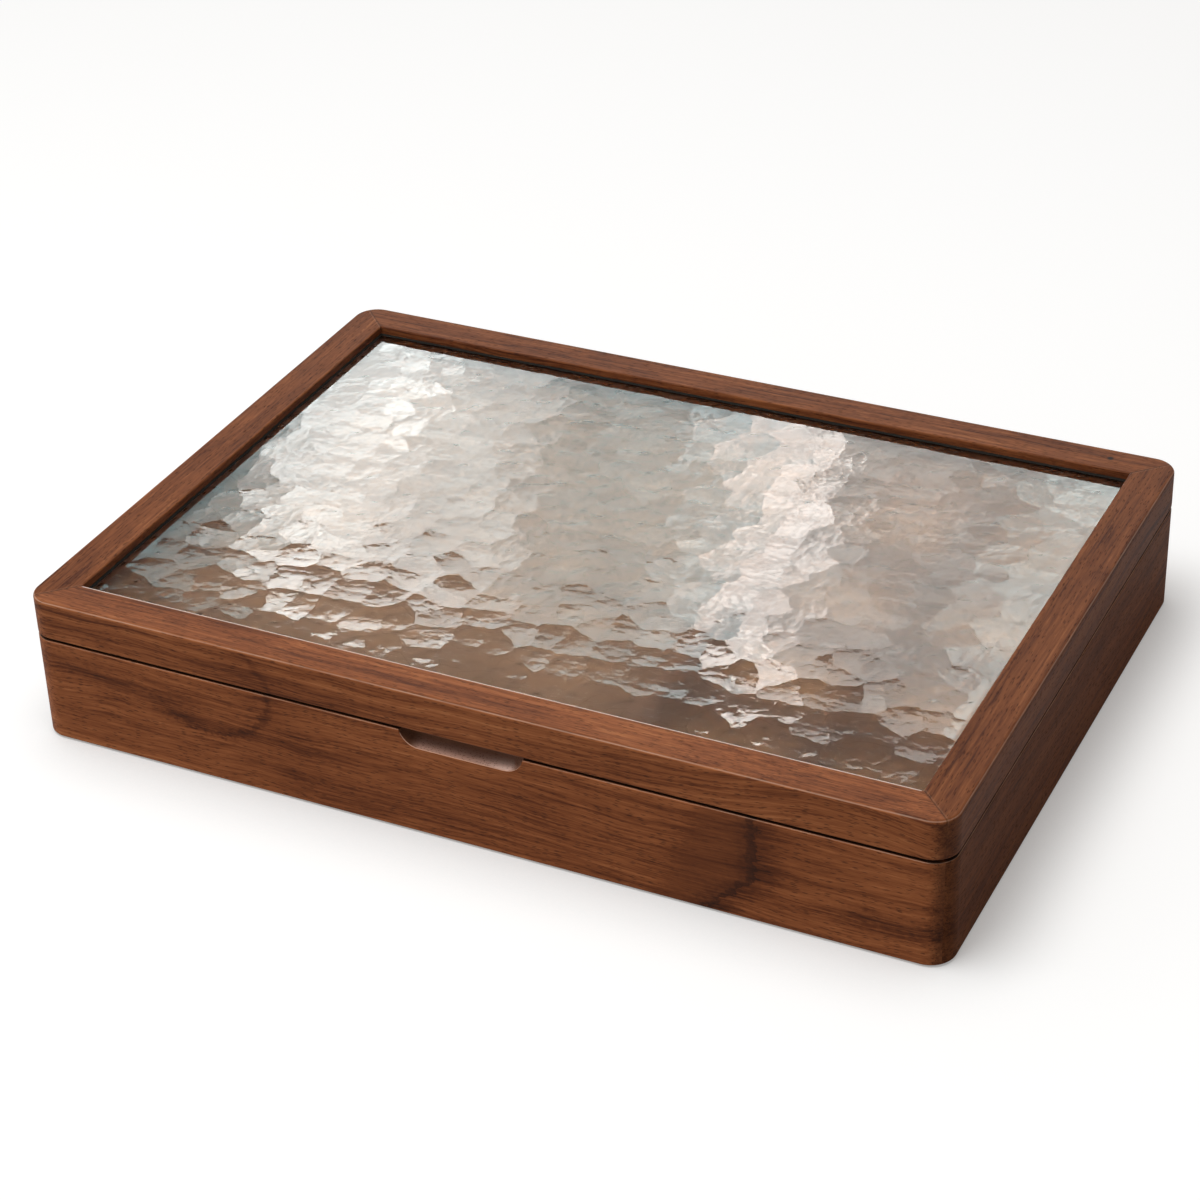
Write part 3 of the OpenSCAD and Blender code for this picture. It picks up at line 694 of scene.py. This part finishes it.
def make_edging():
    """The black bead in the corner between lip and glass, hollow in section, uneven along the glass."""
    half, front, back = HALF_WIDTH - RAIL, FRONT + RAIL, BACK - RAIL
    at_end = 2.5
    glass_top = node_box("glass_pane")[1].z
    # its section: how far in from the lip, how high over the glass, and how uneven
    section = (
        (0.1, 0.25, 0.03),
        (0.25, 0.1, 0.1),
        (0.6, -0.02, 0.3),
        (0.65, -0.25, 0.3),
        (0.0, -0.25, 0.0),
    )
    bm = bmesh.new()
    bmesh.ops.create_grid(bm, x_segments=1, y_segments=1, size=1)
    bmesh.ops.scale(bm, vec=(half, (back - front) / 2, 1), verts=bm.verts)
    bmesh.ops.translate(bm, vec=(0, (back + front) / 2, glass_top + 0.4), verts=bm.verts)
    bmesh.ops.delete(bm, geom=bm.faces[:], context="FACES_ONLY")
    bmesh.ops.subdivide_edges(bm, edges=bm.edges[:], cuts=95)
    first = loop = bm.edges[:]
    for inset, height, uneven in section:
        made = bmesh.ops.extrude_edge_only(bm, edges=loop)["geom"]
        loop = [e for e in made if isinstance(e, bmesh.types.BMEdge)]
        for vert in [v for v in made if isinstance(v, bmesh.types.BMVert)]:
            x, y = vert.co.x, vert.co.y
            x = math.copysign(half, x) if half - abs(x) < at_end else x
            if back - y < at_end:
                y = back
            elif y - front < at_end:
                y = front
            wave = uneven * noise.noise(Vector((x / 3.5, y / 3.5, 0.4)))
            step = max(0.0, inset + wave)
            vert.co.x = x - math.copysign(step, x) if abs(abs(x) - half) < 0.01 else x
            vert.co.y = y - step if y == back else y + step if y == front else y
            vert.co.z = glass_top + height
    bmesh.ops.bridge_loops(bm, edges=loop + first)
    bmesh.ops.recalc_face_normals(bm, faces=bm.faces)
    finish_piece("black_edging", bm, tape, "lid", "glazing_tape")


def make_lining(node):
    """Suede over card: a thin board with soft edges, its faces a little full."""
    swell, edge = 0.12, 0.45
    low, high = node_box(node)
    size, centre = high - low, (low + high) / 2
    bm = bmesh.new()
    bmesh.ops.create_cube(bm, size=1)
    bmesh.ops.scale(bm, vec=size, verts=bm.verts)
    thin = min(range(3), key=lambda a: size[a])
    across = [e for e in bm.edges if abs((e.verts[0].co - e.verts[1].co)[thin]) < 1e-6]
    bmesh.ops.subdivide_edges(bm, edges=across, cuts=11, use_grid_fill=True)
    sharp = [e for e in bm.edges if len(e.link_faces) == 2 and e.calc_face_angle(0) > 1.0]
    bmesh.ops.bevel(
        bm, geom=sharp, offset=edge, segments=3, profile=0.5,
        affect="EDGES", material=-1, clamp_overlap=True,
    )
    for vert in bm.verts:
        ripple = noise.noise(Vector(vert.co) / 23 + Vector((size.x, size.y, 0)))
        vert.co[thin] *= 1 - swell * (0.5 + 0.5 * ripple) / size[thin]
    bmesh.ops.translate(bm, vec=centre, verts=bm.verts)
    finish_piece(node + "_suede", bm, lining_suede, "case", "suede_lining", node)


def roll_form(length, width, height):
    """A roll before it is filled: a D section, drawn in at both ends."""
    bm = bmesh.new()
    bmesh.ops.create_cone(bm, cap_ends=True, segments=28, radius1=1, radius2=1, depth=2)
    bmesh.ops.rotate(bm, matrix=Matrix.Rotation(math.radians(90), 3, "Y"), verts=bm.verts)
    long_edges = [e for e in bm.edges if abs(e.verts[0].co.x - e.verts[1].co.x) > 1]
    bmesh.ops.subdivide_edges(bm, edges=long_edges, cuts=40)
    drawn_in = 0.115
    for vert in bm.verts:
        x, y, z = vert.co
        end = max(0.0, (abs(x) - 1 + drawn_in) / drawn_in)
        share = math.sqrt(1 - 0.54 * end * end)
        vert.co.x = x * length / 2
        vert.co.y = math.copysign(abs(y) ** 0.8, y) * share * width / 2
        vert.co.z = z ** 0.72 * share * height if z > 0 else 0.0
    bmesh.ops.remove_doubles(bm, verts=bm.verts, dist=0.05)
    return bm


def evaluated_mesh(thing):
    graph = bpy.context.evaluated_depsgraph_get()
    return bpy.data.meshes.new_from_object(thing.evaluated_get(graph))


def fill(bm, swell):
    """Fills a closed cover in a cloth simulation.

    The cover is remeshed and swelled by pressure, and each point stays within swell of its place.
    """
    bmesh.ops.scale(bm, vec=(MM, MM, MM), verts=bm.verts)
    mesh = bpy.data.meshes.new("cover")
    bm.to_mesh(mesh)
    bm.free()
    cover = bpy.data.objects.new("cover", mesh)
    scene = bpy.context.scene
    scene.collection.objects.link(cover)
    remesh = cover.modifiers.new("remesh", "REMESH")
    remesh.mode, remesh.voxel_size = "VOXEL", 0.0026
    whole = evaluated_mesh(cover)
    cover.modifiers.clear()
    cover.data = whole
    start = [v.co.copy() for v in whole.vertices]
    cloth = cover.modifiers.new("cloth", "CLOTH")
    cloth.settings.use_pressure = True
    cloth.settings.uniform_pressure_force = 4
    cloth.settings.effector_weights.gravity = 0
    for step in range(1, 21):
        scene.frame_set(step)
    done = evaluated_mesh(cover)
    scene.frame_set(1)
    for vert, place in zip(done.vertices, start):
        move = vert.co - place
        if move.length > swell * MM:
            vert.co = place + move.normalized() * swell * MM
    bpy.data.objects.remove(cover)
    filled = bmesh.new()
    filled.from_mesh(done)
    bmesh.ops.scale(filled, vec=(1 / MM, 1 / MM, 1 / MM), verts=filled.verts)
    return filled


def make_rolls():
    """Seven padded rolls, side by side, with the gathers of their covers at both ends."""
    low, high = node_box("roll_1")
    length, width, height = high - low
    one = roll_form(length - 1.2, width - 1.4, height - 0.8)
    one = fill(one, 0.7)
    bmesh.ops.subdivide_edges(one, edges=one.edges[:], cuts=1, use_grid_fill=True, smooth=0.6)
    model = bpy.data.meshes.new("roll_model")
    one.to_mesh(model)
    one.free()
    gathered, core = 16, 5
    for index in range(1, 8):
        low, high = node_box(f"roll_{index}")
        middle = (low + high) / 2
        bm = bmesh.new()
        bm.from_mesh(model)
        for vert in bm.verts:
            x, y, z = vert.co
            end = max(0.0, (abs(x) - length / 2 + gathered) / gathered)
            around = math.atan2(z - core, y)
            gather = math.sin(around * 17 + index * 1.7 + math.copysign(1.1, x)) * 0.22 * end * end
            slack = noise.noise(Vector((x / 21, y / 14, index * 7.3 + z / 14))) * 0.28
            vert.co += Vector((0, y, z - core)).normalized() * (gather + slack)
            vert.co.z = min(max(vert.co.z, 0.0), height + 0.1)
            vert.co.y = max(-width / 2 - 0.05, min(width / 2 + 0.05, vert.co.y))
        bmesh.ops.translate(bm, vec=(middle.x, middle.y, low.z), verts=bm.verts)
        piece = finish_piece(f"padded_roll_{index}", bm, roll_suede, "case", "suede_roll", f"roll_{index}")


def make_discs(node, name, material, slot, edge):
    """Felt feet or rubber dots: each packed disc made again with a rounded edge."""
    low, high = node_box(node)
    radius, places = disc_places(node)
    bm = bmesh.new()
    for x, y in places:
        disc = bmesh.ops.create_cone(
            bm, cap_ends=True, segments=40, radius1=radius, radius2=radius, depth=high.z - low.z,
        )["verts"]
        bmesh.ops.translate(bm, vec=(x, y, (low.z + high.z) / 2), verts=disc)
        around = {e for v in disc for e in v.link_edges}
        rims = [e for e in around if abs(e.verts[0].co.z - e.verts[1].co.z) < 1e-6]
        bmesh.ops.bevel(bm, geom=rims, offset=edge, segments=4, profile=0.5, affect="EDGES", material=-1)
    finish_piece(name, bm, material, "case", slot, node)


def disc_places(node):
    """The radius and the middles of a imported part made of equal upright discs, in one row or two."""
    low, high = node_box(node)
    middle = (low + high) / 2
    points = [v.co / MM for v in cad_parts[node].data.vertices]
    rows = (-1, 1) if high.y - low.y > 12 else (0,)
    places = []
    for side in (-1, 1):
        for row in rows:
            near = [p for p in points if (p.x - middle.x) * side > 0 and (p.y - middle.y) * row >= 0]
            xs, ys = [p.x for p in near], [p.y for p in near]
            places.append(((min(xs) + max(xs)) / 2, (min(ys) + max(ys)) / 2))
            radius = (max(xs) - min(xs)) / 2
    return radius, places


glass_face = hammered_glass("hammered_glass_face", (0.006, 0.016))
glass_under = hammered_glass("hammered_glass_underside", (0.50, 0.60))
roll_suede = suede("roll_suede", (0.33, 0.170, 0.095, 1), (0.64, 0.36, 0.205, 1))
lining_suede = suede("lining_suede", (0.46, 0.215, 0.095, 1), (0.74, 0.40, 0.19, 1))
felt = matte("felt_foot", (0.03, 0.02, 0.015, 1), (0.075, 0.052, 0.038, 1), 3.0, 0.88, 0.6)
rubber = matte("rubber_dot", (0.045, 0.034, 0.027, 1), (0.075, 0.056, 0.044, 1), 5.0, 0.5)
tape = matte("black_tape", (0.010, 0.009, 0.008, 1), (0.022, 0.020, 0.017, 1), 4.0, 0.7, gloss=0.05)
brad_steel = matte("brad_steel", (0.30, 0.29, 0.28, 1), (0.42, 0.41, 0.40, 1), 6.0, 0.3)
leaf_brass = brass("leaf_brass", (0.62, 0.44, 0.19, 1), (9, 0.12, 0.12))
screw_brass = brass("screw_brass", (0.66, 0.48, 0.22, 1), (0.8, 0.8, 0.8))


def dress_board(node, along, board, tone, **more):
    """Walnut for a packed board, in a material of its own name."""
    dress(node, walnut("walnut_" + node, along, board, tone, **more))


dress_board("wall_front", "x", 0.31, 1.25, arris=CASE_ARRIS, special="front", gloss=0.09)
dress_board("wall_back", "x", 1.72, 1.05, arris=CASE_ARRIS)
dress_board("wall_left", "y", 2.43, 1.05, arris=CASE_ARRIS)
# the right wall's low tone is painted shade on the side turned from the light
dress_board("wall_right", "y", 3.91, 0.65, arris=CASE_ARRIS, gloss=0.04)
dress_board("lid_front", "x", 4.27, 1.17, arris=LID_ARRIS, special="lid_front", gloss=0.1, mitred=True)
dress_board("lid_back", "x", 5.58, 0.78, arris=LID_ARRIS, special="lid_back", gloss=0.08, mitred=True)
dress_board("lid_left", "y", 6.14, 0.76, arris=LID_ARRIS, gloss=0.08, mitred=True)
# the right rail gets a weaker painted highlight
dress_board("lid_right", "y", 7.83, 0.67, arris=LID_ARRIS, gloss=0.08, mitred=True, wear=0.45)
beads = (("bead_front", "x"), ("bead_back", "x"), ("bead_left", "y"), ("bead_right", "y"))
for count, (bead, along) in enumerate(beads):
    dress_board(bead, along, 8.2 + count * 0.77, 0.9)
dress_board("partition", "y", 11.4, 0.95, bare=0.4)
dress_board("slat_long", "y", 12.9, 0.95, bare=0.4)
for count in (1, 2, 3):
    dress_board(f"slat_cross_{count}", "x", 13.3 + count * 0.9, 0.95, bare=0.4)
dress("bottom_panel", walnut("walnut_veneer", "x", 17.6, 0.8))
for node in ("base_leaf_l", "base_leaf_r", "lid_leaf_l", "lid_leaf_r", "hinge_pin_l", "hinge_pin_r"):
    dress(node, leaf_brass)
for node in ("base_screws", "lid_screws"):
    dress(node, screw_brass)
dress("bead_brads", brad_steel)
dress("glazing_tape", tape)

make_pane()
make_edging()
for node in ("floor_lining", "lining_front", "lining_back", "lining_left", "lining_right"):
    make_lining(node)
make_rolls()
make_discs("foot_pads", "felt_feet", felt, "felt_pad", 0.5)
make_discs("lid_bumpers", "rubber_dots", rubber, "bumper", 0.45)


def lay_floor():
    """A plain white floor. Only the camera sees it a little whiter, and it keeps the shadow."""
    bm = bmesh.new()
    bmesh.ops.create_grid(bm, x_segments=1, y_segments=1, size=4.0)
    mesh = bpy.data.meshes.new("floor")
    bm.to_mesh(mesh)
    bm.free()
    floor = bpy.data.objects.new("floor", mesh)
    bpy.context.scene.collection.objects.link(floor)
    material = bpy.data.materials.new("floor_white")
    material.use_nodes = True
    tree = material.node_tree
    tree.nodes.clear()
    b = Bench(tree)
    path = b.put("LightPath").outputs
    white = b.mix(path["Is Camera Ray"], (0.42, 0.43, 0.44, 1), (0.522, 0.55, 0.57, 1))
    matt = b.put("BsdfDiffuse", {"Color": white})
    # close to the box it glows less, which deepens the shadow there
    near = b.put("AmbientOcclusion", {"Distance": 0.03}, samples=12).outputs["AO"]
    near = b.ramp(near, 0.5, 0.96, 0.56, 1.0, smooth=False)
    seen = b.larger(b.times(path["Is Camera Ray"], near), path["Is Transmission Ray"])
    seen = b.larger(seen, b.times(path["Is Glossy Ray"], 0.1))
    glow = b.put("Emission", {"Color": (1, 0.96, 0.925, 1), "Strength": b.times(seen, 0.55)})
    both = b.put("AddShader", {0: matt.outputs[0], 1: glow.outputs[0]})
    b.feed(b.put("OutputMaterial").inputs[0], both.outputs[0])
    mesh.materials.append(material)


def light_studio():
    """A large soft light from above, a sky that falls off to the right, and what the glass mirrors."""
    world = bpy.data.worlds.new("studio")
    bpy.context.scene.world = world
    world.use_nodes = True
    tree = world.node_tree
    tree.nodes.clear()
    b = Bench(tree)
    x, y, z = b.split(b.put("TexCoord").outputs["Generated"])
    degrees = 180 / math.pi
    turn = b.times(b.math("ARCTAN2", x, y), degrees)
    rise = b.times(b.math("ARCSINE", z), degrees)
    # how far from the middle of the part that the camera sees mirrored
    aside = b.absolute(b.plus(turn, 27.0))
    leaning = b.plus(turn, b.times(b.minus(rise, 30.0), 0.3))
    # each panel, in degrees: middle, half width, softness of its edges, then strength and colour
    panels = (
        (-37.6, 2.6, 0.8, -0.9, (1.05, 1.0, 0.95, 1)),
        (-32.2, 1.7, 0.9, 4.4, (1.0, 0.98, 0.95, 1)),
        (-29.4, 1.3, 0.9, 1.9, (1.0, 0.98, 0.96, 1)),
        (-23.9, 0.6, 0.6, 2.0, (0.82, 1.0, 1.04, 1)),
        (-22.4, 0.9, 0.6, 5.0, (1.0, 0.89, 0.83, 1)),
        (-17.5, 5.0, 2.0, 0.7, (1.2, 0.6, 0.4, 1)),
        (-15.4, 1.7, 0.9, 1.6, (0.75, 1.0, 1.0, 1)),
    )
    light = (0.0, 0.0, 0.0, 1)
    for middle, half, soft, strength, colour in panels:
        off = b.absolute(b.minus(leaning, middle))
        glow = b.times(b.ramp(off, half + soft, half - soft), strength)
        light = b.mix(1.0, light, b.mix(1.0, b.grey(glow), colour, "MULTIPLY"), "ADD")
    light = b.mix(1.0, light, (2.1, 2.6, 2.62, 1), "ADD")
    direction = b.join(x, y, z)
    mottle = b.ramp(b.noise(direction, scale=60.0, detail=2, roughness=0.6), 0.36, 0.64, 0.74, 1.24)
    weave = b.noise(direction, scale=190.0, detail=3, roughness=0.7)
    mottle = b.times(mottle, b.ramp(weave, 0.34, 0.66, 0.70, 1.30, smooth=False))
    light = b.mix(1.0, light, b.grey(mottle), "MULTIPLY")
    # the panels end at a slanting top edge, with the dark of the room over it
    over = b.minus(rise, b.plus(32.5, b.times(b.plus(turn, 28.0), 0.227)))
    lit = b.times(b.ramp(over, 0.12, -0.12), b.ramp(rise, 20.0, 25.0), b.ramp(aside, 22.0, 18.0))
    dark = b.times(b.ramp(over, -0.12, 0.12), b.ramp(aside, 50.0, 30.0), b.ramp(rise, 75.0, 50.0))
    plain = b.ramp(dark, 0.0, 1.0, 0.6, 0.08)
    # the rest of the room, which the glass mirrors in the other views: pale walls and windows all round
    windows = b.ramp(b.noise(b.join(x, y, 0.0), scale=11.0, detail=1), 0.46, 0.54, 0.9, 4.2)
    windows = b.times(windows, b.ramp(rise, 4.0, 12.0), b.ramp(rise, 38.4, 37.6), b.ramp(aside, 36.0, 46.0))
    plain = b.plus(plain, b.times(windows, mottle))
    gloss = b.mix(lit, b.grey(plain), light)
    path = b.put("LightPath").outputs
    fall = b.ramp(x, -0.9, 0.7, 0.66, 0.12)
    sky = b.mix(path["Is Glossy Ray"], b.grey(fall), gloss)
    # light that has been mirrored inside the glass comes back dim, so the pane stays clear
    mirrored = b.smaller(path["Glossy Depth"], 1.0)
    through = b.times(path["Is Transmission Ray"], b.minus(1.0, mirrored))
    colour = b.mix(b.times(path["Is Transmission Ray"], mirrored), sky, (0.1, 0.1, 0.1, 1))
    colour = b.mix(b.larger(path["Is Camera Ray"], through), colour, (1, 1, 1, 1))
    background = b.put("Background", {"Color": colour, "Strength": 1.0})
    b.feed(b.put("OutputWorld").inputs[0], background.outputs[0])

    lamp = bpy.data.lights.new("soft_light", "AREA")
    lamp.shape = "SQUARE"
    lamp.size = 0.9
    lamp.energy = 17
    lamp.color = (1.0, 0.975, 0.95)
    holder = bpy.data.objects.new("soft_light", lamp)
    bpy.context.scene.collection.objects.link(holder)
    towards = Vector((-0.17, -0.24, 0.94)).normalized()
    holder.location = towards * 1.6
    holder.rotation_euler = towards.to_track_quat("Z", "Y").to_euler()


lay_floor()
light_studio()
